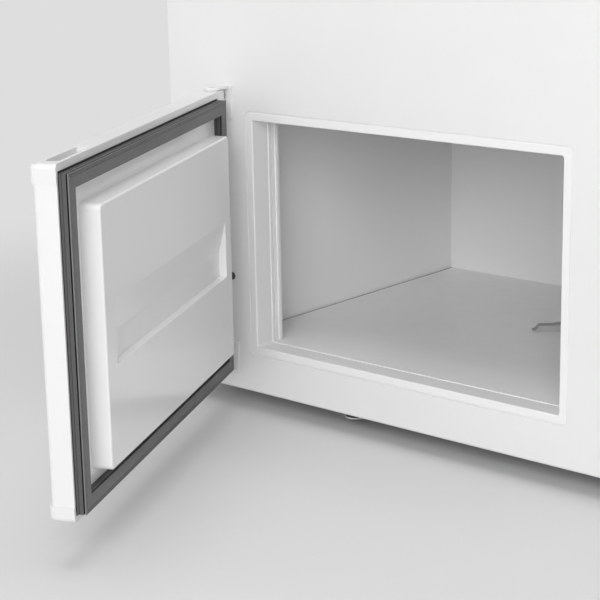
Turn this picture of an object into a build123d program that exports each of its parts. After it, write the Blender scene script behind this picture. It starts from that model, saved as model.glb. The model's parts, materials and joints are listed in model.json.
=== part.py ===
from build123d import *
import os
from math import cos, radians, sin

# Compact under-counter fridge with a small left-hinged door set into a flush front.
# Millimetres. Origin on the floor under the middle of the cabinet; -Y is the front, +Z is up.
# The door stands open at the resting angle.

# ---------------------------------------------------------------- driving dimensions
# cabinet
cabinet_width = 626.0
cabinet_depth = 600.0
cabinet_height = 454.0
foot_gap = 22.0
sheet = 1.0
front_edge_radius = 3.0
front_return = 14.0
side_wall = 68.0
top_wall = 68.0
back_wall = 68.0
front_wall = 42.0
floor_wall = 52.3
liner_sheet = 1.5
# compartment
lower_depth = 424.0
hump_height = 182.0
niche_wall = 40.0
floor_groove = 1.8
# opening in the front
opening_width = 382.5
opening_height = 245.5
opening_radius = 2.5
frame_flange = 8.5
frame_wall = 2.0
frame_depth = 27.0
frame_bead = 0.8
frame_bead_width = 3.0
frame_seam = 0.9
frame_lap = 2.0
frame_lip_radius = 1.2
frame_corner_radius = 5.0
frame_edge_radius = 0.7
frame_bead_radius = 0.6
window_edge_radius = 0.5
throat_step = 1.5
throat_rib = 1.2
throat_stretches = 5
# door
door_open_angle = 63.3
hinge_side_margin = 10.2
hinge_to_opening = 37.8
hinge_setback = 19.4
door_free_margin = 3.3
door_thickness = 22.0
door_top_margin = 8.3
door_bottom_margin = 6.7
cap_proud = 2.3
cap_end_proud = 0.9
cap_overlap = 6.0
cap_wall = 3.0
top_cap_radius = 4.0
bottom_cap_radius = 4.0
skin_radius = 5.0
top_cap_height = 17.0
bottom_cap_height = 13.8
cap_radius = 6.5
door_liner_sheet = 1.5
door_liner_inset = 1.2
# gasket
gasket_overlap_x = 24.5
gasket_overlap_z = 22.9
gasket_face = 13.4
gasket_height = 9.1
gasket_squeeze = 0.3
gasket_bands = (2.6, 2.9, 6.6, 7.8)
gasket_line_inset = 0.5
gasket_neck_inset = 3.0
gasket_ridge = 0.5
gasket_ridge_places = (1.2, 3.0)
magnet_width = 8.0
magnet_height = 2.4
magnet_clearance = 0.1
gasket_roof = 1.2
# shallow channel of the door liner that holds the gasket's root
channel_depth = 1.2
channel_reach_x = 0.9
channel_reach_z = 1.9
channel_wall = 1.2
gasket_root_sheet = 0.5
gasket_root_clearance = 0.3
gasket_root_neck = 1.0
gasket_root_rise = 0.4
# raised plug of the door liner, with its wedge-shaped pocket
plug_free_inset = 26.0
plug_hinge_inset = 12.1
plug_top_inset = 18.5
plug_bottom_inset = 11.5
plug_height = 18.7
plug_edge_radius = 2.0
plug_corner_radius = 6.0
plug_draft = 2.0
pocket_side = 20.5
pocket_free_side = 25.0
pocket_bottom = 89.7
pocket_height = 58.0
pocket_back_height = 25.5
pocket_depth = 7.8
# finger grip in the door's top cap
grip_length = 70.0
grip_width = 12.0
grip_depth = 10.0
grip_from_free_edge = 14.5
grip_wall = 1.1
grip_radius = 3.0
# hinges
bracket_sheet = 2.5
bracket_leaf_width = 22.0
bracket_leaf_height = 34.3
bracket_arm_half = 8.5
bracket_gap = 0.8
pin_radius = 3.5
pin_clearance = 0.06
pin_reach = 12.0
bush_wall = 2.0
bush_collar = 0.5
bush_collar_radius = 7.5
bush_boss_wall = 2.4
hinge_screw_radius = 2.0
hinge_screw_head_radius = 3.8
hinge_screw_length = 14.0
hinge_screw_angle = 90.0
hinge_screw_spacing = 16.0
hinge_screw_from_end = 8.0
backing_sheet = 2.0
fastener_clearance = 0.05
# feet
foot_pad_radius = 17.0
foot_pad_height = 12.0
foot_stud_radius = 4.0
foot_stud_clearance = 0.08
foot_travel = 8.0
foot_inset_x = 70.0
foot_inset_y = 105.0
foot_nut_height = 12.0
foot_nut_wall = 3.0
foot_nut_flange_radius = 12.0
foot_nut_flange = 2.0
foot_pad_web = 4.0
foot_stud_chamfer = 0.8
pad_edge_radius = 1.5
rear_foot_inset_y = 60.0
rear_foot_head = 3.0
# drain
drain_x = 29.5
drain_from_front = 254.0
drain_bore = 4.5
drain_tube_wall = 1.5
drain_tube_bend = 12.0
drain_tube_fall = 14.0
drain_tube_drop = 22.0
outlet_x = -85.0
outlet_from_front = 37.0
outlet_radius = 11.5
outlet_reach = 12.3
outlet_seat = 3.0
outlet_ring_width = 1.0
outlet_ring_height = 1.3
outlet_ring_edge = 0.4
plug_head_radius = 7.5
plug_head_height = 7.8
plug_tab_reach = 31.6
plug_tab_width = 12.0
plug_tab_height = 6.8
plug_tab_slope = 7.5
plug_tab_tongue = 3.6
plug_tab_tip = 1.6
plug_tab_corner = 4.0
plug_tab_turn = 221.2
plug_stem_length = 10.0
plug_stem_clearance = 0.3
plug_seat_gap = 0.2
plug_edge = 1.2
# refrigeration
tray_sheet = 2.0
tray_lip = 8.0
compressor_x = 120.0
compressor_length = 150.0
compressor_width = 104.0
compressor_height = 130.0
compressor_foot_sheet = 3.0
compressor_foot_margin = 26.0
compressor_corner_radius = 45.0
compressor_top_radius = 30.0
compressor_bottom_radius = 12.0
compressor_seam = 2.0
grommet_radius = 11.0
grommet_height = 12.0
grommet_spacing_x = 150.0
grommet_spacing_y = 88.0
bolt_radius = 3.0
bolt_head_radius = 5.5
bolt_head_height = 4.0
relay_cover_depth = 26.0
relay_cover_width = 56.0
relay_cover_height = 64.0
cover_edge_radius = 4.0
line_bend = 15.0
condenser_bend = 9.0
condenser_feed_drop = 26.0
drier_z = 110.0
line_radius = 3.0
capillary_radius = 1.2
line_clearance = 0.5
port_offset = 35.0
condenser_half_width = 240.0
condenser_passes = 9
condenser_pitch = 22.0
condenser_tube_radius = 2.5
condenser_standoff = 12.0
condenser_rise = 22.0
condenser_wire_radius = 0.8
condenser_wire_rows = 22
condenser_wire_end = 6.0
condenser_bracket_spaces = 8
saddle_half = 6.0
condenser_side_run = 20.0
drier_radius = 9.0
drier_length = 80.0
drier_x = -160.0
evaporator_sheet = 1.6
evaporator_gap = 12.0
evaporator_edge = 22.0
evaporator_channel = 6.0
evaporator_channel_rise = 1.8
evaporator_channels = 9
channel_bend = 12.0
evaporator_socket = 6.0
spacer_radius = 5.0
spacer_inset = 11.0
# thermostat on the right-hand wall of the compartment
thermostat_length = 90.0
thermostat_height = 70.0
thermostat_depth = 34.0
thermostat_wall = 2.0
thermostat_edge = 5.0
thermostat_body_half = 17.5
thermostat_from_front = 130.0
thermostat_above_floor = 206.0
knob_radius = 20.0
knob_height = 16.0
knob_disc_height = 5.4
knob_gap = 0.4
knob_edge = 1.0
knob_grip_width = 9.0
spindle_radius = 3.0
spindle_clearance = 0.05
# mains inlet
inlet_width = 27.0
inlet_height = 20.0
inlet_depth = 18.0
inlet_flange = 50.0
inlet_bracket_height = 34.0
inlet_x = -60.0
inlet_set_in = 12.0
inlet_rim = 2.5
inlet_floor = 3.0
inlet_corner = 4.0
inlet_pin_spacing = 7.0
inlet_pin_width = 2.0
inlet_pin_height = 4.0
lead_radius = 3.0
lead_bend = 12.0
# small plug that fills a spare hole in the front
spare_hole_to_opening = 34.5
spare_hole_z = 126.5
spare_hole_radius = 2.7
spare_plug_flange = 1.5
spare_plug_rise = 1.2
spare_plug_edge = 0.8

# ---------------------------------------------------------------- derived places
half_width = cabinet_width / 2
front_y = -cabinet_depth / 2
back_y = cabinet_depth / 2
body_bottom = foot_gap
body_top = foot_gap + cabinet_height

cavity_half = half_width - side_wall
cavity_front = front_y + front_wall
cavity_back = back_y - back_wall
cavity_floor = body_bottom + floor_wall
cavity_ceiling = body_top - top_wall
hump_front = front_y + lower_depth
hump_top = cavity_floor + hump_height
niche_front = hump_front + niche_wall
niche_top = hump_top - niche_wall
niche_middle = (niche_front + back_y) / 2

opening_bottom = cavity_floor
opening_top = opening_bottom + opening_height
opening_middle = (opening_bottom + opening_top) / 2

gasket_width = opening_width + 2 * gasket_overlap_x
gasket_tall = opening_height + 2 * gasket_overlap_z

# Door places are measured from the hinge axis: x along the door, y into the cabinet when shut.
hinge_x = -opening_width / 2 - hinge_to_opening
hinge_y = front_y - hinge_setback
opening_centre_on_door = -hinge_x
door_hinge_edge = -hinge_side_margin
door_free_edge = opening_centre_on_door + gasket_width / 2 + door_free_margin
door_inner = hinge_setback - gasket_height - gasket_squeeze
door_outer = door_inner - door_thickness
door_bottom = opening_middle - gasket_tall / 2 - door_bottom_margin
door_top = opening_middle + gasket_tall / 2 + door_top_margin
liner_back = door_inner - door_liner_sheet
grip_free = door_free_edge - grip_from_free_edge
grip_inner = liner_back - channel_depth - grip_wall

skin_low = door_bottom + bottom_cap_height - cap_overlap
skin_high = door_top - top_cap_height + cap_overlap
upper_leaf = (
    door_top + bracket_gap + bracket_sheet - bracket_leaf_height,
    door_top + bracket_gap + bracket_sheet,
)
lower_leaf = (
    door_bottom - bracket_gap - bracket_sheet,
    door_bottom - bracket_gap - bracket_sheet + bracket_leaf_height,
)
drain_y = front_y + drain_from_front
line_z = cavity_ceiling - evaporator_gap
line_y = (cavity_back + back_y) / 2
suction_x = compressor_x - port_offset
discharge_x = compressor_x + port_offset
evaporator_back = cavity_back - evaporator_edge
plug_left = opening_centre_on_door - gasket_width / 2 + gasket_face + plug_hinge_inset
plug_right = opening_centre_on_door + gasket_width / 2 - gasket_face - plug_free_inset
plug_low = opening_middle - gasket_tall / 2 + gasket_face + plug_bottom_inset
plug_high = opening_middle + gasket_tall / 2 - gasket_face - plug_top_inset
condenser_y = back_y + condenser_standoff
condenser_low = niche_top + condenser_rise
condenser_feed_z = niche_top - condenser_feed_drop
drier_left = drier_x - drier_length / 2
capillary_x = drier_x + drier_length / 2 + line_bend + line_radius
grommet_places = [
    (compressor_x + i * grommet_spacing_x / 2, niche_middle + j * grommet_spacing_y / 2)
    for i in (-1, 1)
    for j in (-1, 1)
]

open_turn = radians(-door_open_angle)
door_plane = Plane(
    origin=(hinge_x, hinge_y, 0),
    x_dir=(cos(open_turn), sin(open_turn), 0),
    z_dir=(0, 0, 1),
)


def slab(x, y, z, mode=Mode.ADD):
    """Box between two X, two Y and two Z places."""
    with Locations(((x[0] + x[1]) / 2, (y[0] + y[1]) / 2, (z[0] + z[1]) / 2)):
        Box(x[1] - x[0], y[1] - y[0], z[1] - z[0], mode=mode)


def rod(radius, x, y, z, mode=Mode.ADD):
    """Upright cylinder at (x, y) between two Z places."""
    with Locations((x, y, (z[0] + z[1]) / 2)):
        Cylinder(radius, z[1] - z[0], mode=mode)


def opening_plane(y):
    """Upright plane facing the user, centred on the opening, at depth y."""
    return Plane(origin=(0, y, opening_middle), x_dir=(1, 0, 0), z_dir=(0, -1, 0))


def door_face_plane(x, y, z):
    """Plane parallel to the door's faces, facing the user, through a place on the door."""
    return Plane(
        origin=door_plane.from_local_coords((x, y, z)),
        x_dir=door_plane.x_dir,
        z_dir=-door_plane.y_dir,
    )


def door_section_plane(x):
    """Plane across the door at x, with its first axis into the cabinet and its second up."""
    return Plane(
        origin=door_plane.from_local_coords((x, 0, 0)),
        x_dir=door_plane.y_dir,
        z_dir=door_plane.x_dir,
    )


def compartment(grow, mode=Mode.ADD):
    """Space of the compartment and its rear step, grown outwards by a wall."""
    with BuildSketch(Plane.YZ.offset(-cavity_half - grow)) as section:
        with BuildLine():
            Polyline(
                (cavity_front - grow, cavity_floor - grow),
                (hump_front + grow, cavity_floor - grow),
                (hump_front + grow, hump_top - grow),
                (cavity_back + grow, hump_top - grow),
                (cavity_back + grow, cavity_ceiling + grow),
                (cavity_front - grow, cavity_ceiling + grow),
                close=True,
            )
        make_face()
    extrude(section.sketch, amount=2 * (cavity_half + grow), mode=mode)


def throat(grow, y, mode=Mode.ADD):
    """Passage through the front wall behind the frame, grown by a wall; its floor never rises."""
    low = opening_bottom - max(grow, 0)
    high = opening_top + throat_step + grow
    half = opening_width / 2 + throat_step + grow
    slab((-half, half), y, (low, high), mode=mode)


def pipe(points, corner_radius, tube_radius, mode=Mode.ADD):
    """Round tube along straight runs joined by arcs."""
    with BuildLine() as route:
        FilletPolyline(*points, radius=corner_radius)
    start = route.line ^ 0
    with BuildSketch(Plane(origin=start.position, z_dir=start.z_axis.direction)) as section:
        Circle(tube_radius)
    sweep(section.sketch, path=route.line, mode=mode)


def hinge_screw_planes(y):
    """Places of the hinge screws at depth y, each facing the user."""
    return [
        Plane(origin=(hinge_x, y, end + step), z_dir=(0, -1, 0))
        for end in (upper_leaf[0], lower_leaf[1] - 2 * hinge_screw_from_end - hinge_screw_spacing)
        for step in (hinge_screw_from_end, hinge_screw_from_end + hinge_screw_spacing)
    ]


def compressor_shell(grow, z, mode=Mode.ADD):
    """Oval drum of the compressor between two heights, grown outwards."""
    with BuildSketch(Plane.XY.offset(z[0])) as outline:
        with Locations((compressor_x, niche_middle)):
            RectangleRounded(
                compressor_length + 2 * grow,
                compressor_width + 2 * grow,
                compressor_corner_radius + grow,
            )
    extrude(outline.sketch, amount=z[1] - z[0], mode=mode)


def door_block(grow_ends, proud, radius, z, inner=door_inner, mode=Mode.ADD):
    """Block with the door's outline between two heights, its two outer corners rounded."""
    x = (door_hinge_edge - grow_ends, door_free_edge + grow_ends)
    y = (door_outer - proud, inner)
    with BuildSketch(door_plane.offset(z[0])) as outline:
        with Locations(((x[0] + x[1]) / 2, (y[0] + y[1]) / 2)):
            Rectangle(x[1] - x[0], y[1] - y[0])
        fillet(outline.vertices().group_by(Axis.Y)[0], radius)
    extrude(outline.sketch, amount=z[1] - z[0], mode=mode)


def plug_block(wall):
    """Raised plug of the door liner, less a wall all round, with the wedge pocket cut in it."""
    centre = ((plug_left + plug_right) / 2, (plug_low + plug_high) / 2)
    face = door_inner + plug_height - wall
    with BuildSketch(door_face_plane(centre[0], liner_back, centre[1])) as outline:
        RectangleRounded(
            plug_right - plug_left - 2 * wall,
            plug_high - plug_low - 2 * wall,
            plug_corner_radius - wall,
        )
    extrude(outline.sketch, amount=-(face - liner_back), taper=plug_draft)
    # the pocket has a flat back above its lower ledge and fades out above that
    low = plug_low + pocket_bottom - wall
    with BuildSketch(door_section_plane(plug_left + pocket_side - wall)) as wedge:
        with BuildLine():
            Polyline(
                (face, low),
                (face - pocket_depth, low),
                (face - pocket_depth, plug_low + pocket_bottom + pocket_back_height),
                (face, plug_low + pocket_bottom + pocket_height),
                close=True,
            )
        make_face()
    pocket_length = plug_right - plug_left - pocket_side - pocket_free_side
    extrude(wedge.sketch, amount=pocket_length + 2 * wall, mode=Mode.SUBTRACT)


def gasket_plane(height):
    """Plane at a height above the door liner, facing the user, centred on the gasket."""
    return door_face_plane(opening_centre_on_door, door_inner + height, opening_middle)


def gasket_outline(inset, mode=Mode.ADD):
    """Outline of the gasket, set in from its outer edge."""
    Rectangle(gasket_width - 2 * inset, gasket_tall - 2 * inset, mode=mode)


def gasket_channel(outer, inner, y, mode=Mode.ADD):
    """Ring behind the gasket, grown past the channel's two edges, between two depths on the door."""
    with BuildSketch(gasket_plane(y[0] - door_inner)) as ring:
        Rectangle(
            gasket_width + 2 * (channel_reach_x + outer),
            gasket_tall + 2 * (channel_reach_z + outer),
        )
        gasket_outline(gasket_face + inner, mode=Mode.SUBTRACT)
    extrude(ring.sketch, amount=y[0] - y[1], mode=mode)


def gasket_ring(inset, height, mode=Mode.ADD):
    """Square ring of the gasket between two heights, set in at both edges of its face."""
    with BuildSketch(gasket_plane(height[0])) as ring:
        gasket_outline(inset)
        gasket_outline(gasket_face - inset, mode=Mode.SUBTRACT)
    extrude(ring.sketch, amount=-(height[1] - height[0]), mode=mode)


# ---------------------------------------------------------------- cabinet shell
wrap_front = front_y + front_return
inside_half = half_width - sheet
foot_x = half_width - foot_inset_x
foot_y = front_y + foot_inset_y
rear_foot_y = back_y - rear_foot_inset_y
outlet_y = front_y + outlet_from_front
tray_top = body_bottom + tray_sheet
spare_x = -opening_width / 2 - spare_hole_to_opening
spare_z = body_bottom + spare_hole_z

with BuildPart() as cabinet_wrap:
    slab((-half_width, half_width), (wrap_front, back_y), (body_bottom, body_top))
    slab(
        (-inside_half, inside_half),
        (wrap_front, back_y),
        (body_bottom, body_top - sheet),
        mode=Mode.SUBTRACT,
    )

with BuildPart() as panel_hollow:
    slab(
        (-inside_half, inside_half),
        (front_y + sheet, wrap_front),
        (body_bottom + sheet, body_top - sheet),
    )
    fillet(panel_hollow.faces().sort_by(Axis.Y)[0].edges(), front_edge_radius - sheet)

with BuildPart() as front_panel:
    slab((-half_width, half_width), (front_y, wrap_front), (body_bottom, body_top))
    fillet(front_panel.faces().sort_by(Axis.Y)[0].edges(), front_edge_radius)
    add(panel_hollow.part, mode=Mode.SUBTRACT)
    window_margin = frame_flange + frame_seam
    with BuildSketch(opening_plane(front_y)):
        RectangleRounded(
            opening_width + 2 * window_margin,
            opening_height + 2 * window_margin,
            frame_corner_radius + frame_seam,
        )
    extrude(amount=-front_return / 2, mode=Mode.SUBTRACT)
    fillet(
        front_panel.faces().sort_by(Axis.Y)[0].inner_wires()[0].edges(), window_edge_radius
    )
    with Locations(Plane(origin=(spare_x, front_y, spare_z), z_dir=(0, -1, 0))):
        Hole(spare_hole_radius, depth=front_return / 2)
    with Locations(*hinge_screw_planes(front_y)):
        Hole(hinge_screw_radius + fastener_clearance, depth=front_return / 2)

with BuildPart() as front_hole_plug:
    with BuildSketch(Plane(origin=(spare_x, front_y, spare_z), z_dir=(0, -1, 0))):
        Circle(spare_hole_radius + spare_plug_flange)
    extrude(amount=spare_plug_rise)
    fillet(front_hole_plug.faces().sort_by(Axis.Y)[0].edges(), spare_plug_edge)
    with BuildSketch(Plane(origin=(spare_x, front_y, spare_z), z_dir=(0, 1, 0))):
        Circle(spare_hole_radius)
    extrude(amount=sheet)

with BuildPart() as back_panel:
    slab((-inside_half, inside_half), (back_y - sheet, back_y), (niche_top, body_top - sheet))

with BuildPart() as base_pan:
    slab(
        (-inside_half, inside_half),
        (wrap_front, niche_front),
        (body_bottom, body_bottom + sheet),
    )
    for side in (-1, 1):
        rod(
            foot_stud_radius + sheet, side * foot_x, foot_y, (0, body_top), mode=Mode.SUBTRACT
        )
    rod(
        outlet_radius + fastener_clearance,
        outlet_x,
        outlet_y,
        (0, body_top),
        mode=Mode.SUBTRACT,
    )

with BuildPart() as niche_shell:
    slab(
        (-inside_half, inside_half), (niche_front, niche_front + sheet), (body_bottom, niche_top)
    )
    slab(
        (-inside_half, inside_half),
        (niche_front + sheet, back_y),
        (niche_top - sheet, niche_top),
    )
    for x, radius in ((suction_x, line_radius), (capillary_x, capillary_radius)):
        rod(radius + line_clearance, x, line_y, (niche_front, body_top), mode=Mode.SUBTRACT)

with BuildPart() as compressor_tray:
    slab((-inside_half, inside_half), (niche_front + sheet, back_y), (body_bottom, tray_top))
    slab(
        (-inside_half, inside_half),
        (back_y - tray_sheet, back_y),
        (tray_top, tray_top + tray_lip),
    )
    for x, y in grommet_places:
        rod(bolt_radius + fastener_clearance, x, y, (0, tray_top), mode=Mode.SUBTRACT)
    for side in (-1, 1):
        rod(
            foot_stud_radius + fastener_clearance,
            side * foot_x,
            rear_foot_y,
            (0, tray_top),
            mode=Mode.SUBTRACT,
        )

# ---------------------------------------------------------------- compartment
def groove_beds(mode=Mode.ADD):
    """Ridges under the liner's floor that carry its two grooves."""
    for side in (-1, 1):
        inner_edge = side * (cavity_half - floor_groove - liner_sheet)
        outer_edge = side * (cavity_half + liner_sheet)
        slab(
            (min(inner_edge, outer_edge), max(inner_edge, outer_edge)),
            (cavity_front - liner_sheet, hump_front + liner_sheet),
            (cavity_floor - floor_groove - liner_sheet, cavity_floor - liner_sheet),
            mode=mode,
        )


with BuildPart() as inner_liner:
    compartment(liner_sheet)
    compartment(0, mode=Mode.SUBTRACT)
    throat_front = front_y + frame_depth
    stretch = (cavity_front - throat_front) / throat_stretches
    throat(liner_sheet, (throat_front, cavity_front - liner_sheet / 2))
    # the passage narrows at two shallow beads and is full size before, between and after them
    throat(-throat_rib, (throat_front, cavity_front), mode=Mode.SUBTRACT)
    for step in range(0, throat_stretches, 2):
        start = throat_front + step * stretch
        throat(0, (start, start + stretch), mode=Mode.SUBTRACT)
    # expansion groove along both side edges of the floor, with a full wall behind it
    groove_beds()
    for side in (-1, 1):
        groove_middle = side * (cavity_half - floor_groove / 2)
        slab(
            (groove_middle - floor_groove / 2, groove_middle + floor_groove / 2),
            (cavity_front, hump_front),
            (cavity_floor - floor_groove, cavity_floor),
            mode=Mode.SUBTRACT,
        )
    rod(
        drain_bore,
        drain_x,
        drain_y,
        (cavity_floor - 2 * liner_sheet, cavity_floor),
        mode=Mode.SUBTRACT,
    )
    # refrigerant lines pass the back wall
    for x, radius in ((suction_x, line_radius), (capillary_x, capillary_radius)):
        with Locations(Plane(origin=(x, cavity_back, line_z), z_dir=(0, 1, 0))):
            Cylinder(radius + line_clearance, 4 * liner_sheet, mode=Mode.SUBTRACT)

with BuildPart() as opening_frame:
    with BuildSketch(opening_plane(front_y)):
        RectangleRounded(
            opening_width + 2 * frame_flange,
            opening_height + 2 * frame_flange,
            frame_corner_radius,
        )
    extrude(amount=-frame_wall)
    fillet(opening_frame.faces().sort_by(Axis.Y)[0].edges(), frame_edge_radius)
    # the flange laps behind the front panel and closes the seam
    with BuildSketch(opening_plane(front_y + sheet)):
        RectangleRounded(
            opening_width + 2 * (window_margin + frame_lap),
            opening_height + 2 * (window_margin + frame_lap),
            frame_corner_radius + frame_seam + frame_lap,
        )
    extrude(amount=-(frame_wall - sheet))
    with BuildSketch(opening_plane(front_y + frame_wall)):
        RectangleRounded(
            opening_width + 2 * frame_wall,
            opening_height + 2 * frame_wall,
            opening_radius + frame_wall,
        )
    extrude(amount=-(frame_depth - frame_wall))
    with BuildSketch(opening_plane(front_y)):
        RectangleRounded(opening_width, opening_height, opening_radius)
    extrude(amount=-(frame_depth - frame_bead_width), mode=Mode.SUBTRACT)
    # a rounded bead stands inwards at the rear
    with BuildSketch(opening_plane(front_y)):
        RectangleRounded(
            opening_width - 2 * frame_bead,
            opening_height - 2 * frame_bead,
            opening_radius - frame_bead,
        )
    extrude(amount=-frame_depth, mode=Mode.SUBTRACT)
    bead_front = opening_frame.faces().filter_by(Axis.Y).group_by(Axis.Y)[-2]
    fillet(bead_front[0].inner_wires()[0].edges(), frame_bead_radius)
    fillet(
        opening_frame.faces().sort_by(Axis.Y)[0].inner_wires()[0].edges(), frame_lip_radius
    )

# ---------------------------------------------------------------- drain
drain_points = [
    (drain_x, drain_y, cavity_floor - liner_sheet),
    (drain_x, drain_y, cavity_floor - drain_tube_drop),
    (outlet_x, outlet_y, cavity_floor - drain_tube_drop - drain_tube_fall),
    (outlet_x, outlet_y, body_bottom),
]

with BuildPart() as drain_plug:
    tab_bottom = cavity_floor + plug_seat_gap
    tab_turn = radians(plug_tab_turn)
    tab_section = Plane(
        origin=(drain_x, drain_y, tab_bottom),
        x_dir=(cos(tab_turn), sin(tab_turn), 0),
        z_dir=(sin(tab_turn), -cos(tab_turn), 0),
    )
    # the tab slopes down to a thin tongue at its end
    with BuildSketch(tab_section):
        with BuildLine():
            Polyline(
                (0, 0),
                (plug_tab_reach, 0),
                (plug_tab_reach, plug_tab_tip),
                (plug_tab_reach - plug_tab_tongue, plug_tab_tip),
                (plug_tab_reach - plug_tab_slope, plug_tab_height),
                (0, plug_tab_height),
                close=True,
            )
        make_face()
    extrude(amount=plug_tab_width / 2, both=True)
    tip = drain_plug.edges().filter_by(Axis.Z).sort_by(Axis(tab_section.origin, tab_section.x_dir))
    fillet(tip[-2:], plug_tab_corner)
    fillet(drain_plug.faces().sort_by(Axis.Z)[-1].edges().sort_by(SortBy.LENGTH)[-2:], plug_edge)
    rod(plug_head_radius, drain_x, drain_y, (tab_bottom, tab_bottom + plug_head_height))
    fillet(drain_plug.faces().sort_by(Axis.Z)[-1].edges(), plug_edge)
    rod(
        drain_bore - plug_stem_clearance,
        drain_x,
        drain_y,
        (tab_bottom - plug_stem_length, tab_bottom),
    )

with BuildPart() as drain_tube:
    pipe(drain_points, drain_tube_bend, drain_bore + drain_tube_wall)
    pipe(drain_points, drain_tube_bend, drain_bore, mode=Mode.SUBTRACT)

with BuildPart() as drain_outlet:
    outlet_bottom = body_bottom - outlet_reach
    outlet_top = body_bottom + outlet_seat
    rod(outlet_radius, outlet_x, outlet_y, (outlet_bottom, outlet_top))
    rod(drain_bore, outlet_x, outlet_y, (outlet_bottom, outlet_top), mode=Mode.SUBTRACT)
    rod(
        drain_bore + drain_tube_wall + fastener_clearance,
        outlet_x,
        outlet_y,
        (body_bottom, outlet_top),
        mode=Mode.SUBTRACT,
    )

with BuildPart() as drain_outlet_ring:
    ring_bottom = outlet_bottom - outlet_ring_height
    rod(outlet_radius + outlet_ring_width, outlet_x, outlet_y, (ring_bottom, outlet_bottom))
    fillet(drain_outlet_ring.edges(), outlet_ring_edge)
    rod(outlet_radius - drain_tube_wall, outlet_x, outlet_y, (0, outlet_top), mode=Mode.SUBTRACT)

# ---------------------------------------------------------------- feet
stud_top = body_bottom + sheet + foot_nut_height + foot_travel
nut_top = stud_top + foot_nut_wall


def foot_pad(x):
    """Round pad of an adjustable foot with a blind seat for its stud."""
    with BuildPart() as pad:
        rod(foot_pad_radius, x, foot_y, (0, foot_pad_height))
        fillet(pad.edges(), pad_edge_radius)
        rod(foot_stud_radius, x, foot_y, (foot_pad_web, body_bottom), mode=Mode.SUBTRACT)
    return pad


def foot_stud(x):
    """Stud of an adjustable foot, from its seat in the pad up into the nut."""
    with BuildPart() as stud:
        rod(foot_stud_radius, x, foot_y, (foot_pad_web, stud_top))
        chamfer(stud.faces().sort_by(Axis.Z)[-1].edges(), foot_stud_chamfer)
    return stud


left_foot_pad = foot_pad(-foot_x)
right_foot_pad = foot_pad(foot_x)
left_foot_stud = foot_stud(-foot_x)
right_foot_stud = foot_stud(foot_x)

with BuildPart() as foot_nuts:
    for side in (-1, 1):
        x = side * foot_x
        seat = body_bottom + sheet
        rod(foot_nut_flange_radius, x, foot_y, (seat, seat + foot_nut_flange))
        rod(foot_stud_radius + foot_nut_wall, x, foot_y, (seat, nut_top))
        rod(
            foot_stud_radius + foot_stud_clearance,
            x,
            foot_y,
            (seat, stud_top + fastener_clearance),
            mode=Mode.SUBTRACT,
        )

with BuildPart() as rear_feet:
    for side in (-1, 1):
        x = side * foot_x
        rod(foot_pad_radius, x, rear_foot_y, (0, body_bottom))
        rod(foot_stud_radius, x, rear_foot_y, (body_bottom, tray_top + rear_foot_head))
        rod(
            foot_stud_radius + rear_foot_head / 2,
            x,
            rear_foot_y,
            (tray_top, tray_top + rear_foot_head),
        )
    fillet(rear_feet.faces().group_by(Axis.Z)[0].edges(), pad_edge_radius)

# ---------------------------------------------------------------- hinges
upper_arm = (door_top + bracket_gap, door_top + bracket_gap + bracket_sheet)
lower_arm = (door_bottom - bracket_gap - bracket_sheet, door_bottom - bracket_gap)
leaf_half = bracket_leaf_width / 2


def hinge_bracket(arm, leaf):
    """Bent steel bracket: a leaf on the front and a round-ended arm that carries the pin."""
    with BuildPart() as bracket:
        slab(
            (hinge_x - leaf_half, hinge_x + leaf_half),
            (front_y - bracket_sheet, front_y),
            leaf,
        )
        slab((hinge_x - bracket_arm_half, hinge_x + bracket_arm_half), (hinge_y, front_y), arm)
        rod(bracket_arm_half, hinge_x, hinge_y, arm)
        rod(pin_radius, hinge_x, hinge_y, arm, mode=Mode.SUBTRACT)
        with Locations(*hinge_screw_planes(front_y - bracket_sheet)):
            CounterSinkHole(
                hinge_screw_radius + fastener_clearance,
                hinge_screw_head_radius + fastener_clearance,
                depth=2 * bracket_sheet,
                counter_sink_angle=hinge_screw_angle,
            )
    return bracket


upper_hinge_bracket = hinge_bracket(upper_arm, upper_leaf)
lower_hinge_bracket = hinge_bracket(lower_arm, lower_leaf)

with BuildPart() as hinge_pins:
    rod(pin_radius, hinge_x, hinge_y, (door_top - pin_reach, upper_arm[1]))
    rod(pin_radius, hinge_x, hinge_y, (lower_arm[0], door_bottom + pin_reach))

with BuildPart() as hinge_backing_plates:
    for leaf in (upper_leaf, lower_leaf):
        slab(
            (hinge_x - leaf_half, hinge_x + leaf_half),
            (front_y + sheet, front_y + sheet + backing_sheet),
            leaf,
        )
    with Locations(*hinge_screw_planes(front_y)):
        Hole(hinge_screw_radius, depth=front_return / 2)

with BuildPart() as hinge_screws:
    with Locations(*hinge_screw_planes(front_y - bracket_sheet)):
        Cylinder(
            hinge_screw_radius,
            hinge_screw_length,
            align=(Align.CENTER, Align.CENTER, Align.MAX),
        )
        Cone(
            hinge_screw_radius,
            hinge_screw_head_radius,
            hinge_screw_head_radius - hinge_screw_radius,
            align=(Align.CENTER, Align.CENTER, Align.MAX),
        )

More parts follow.
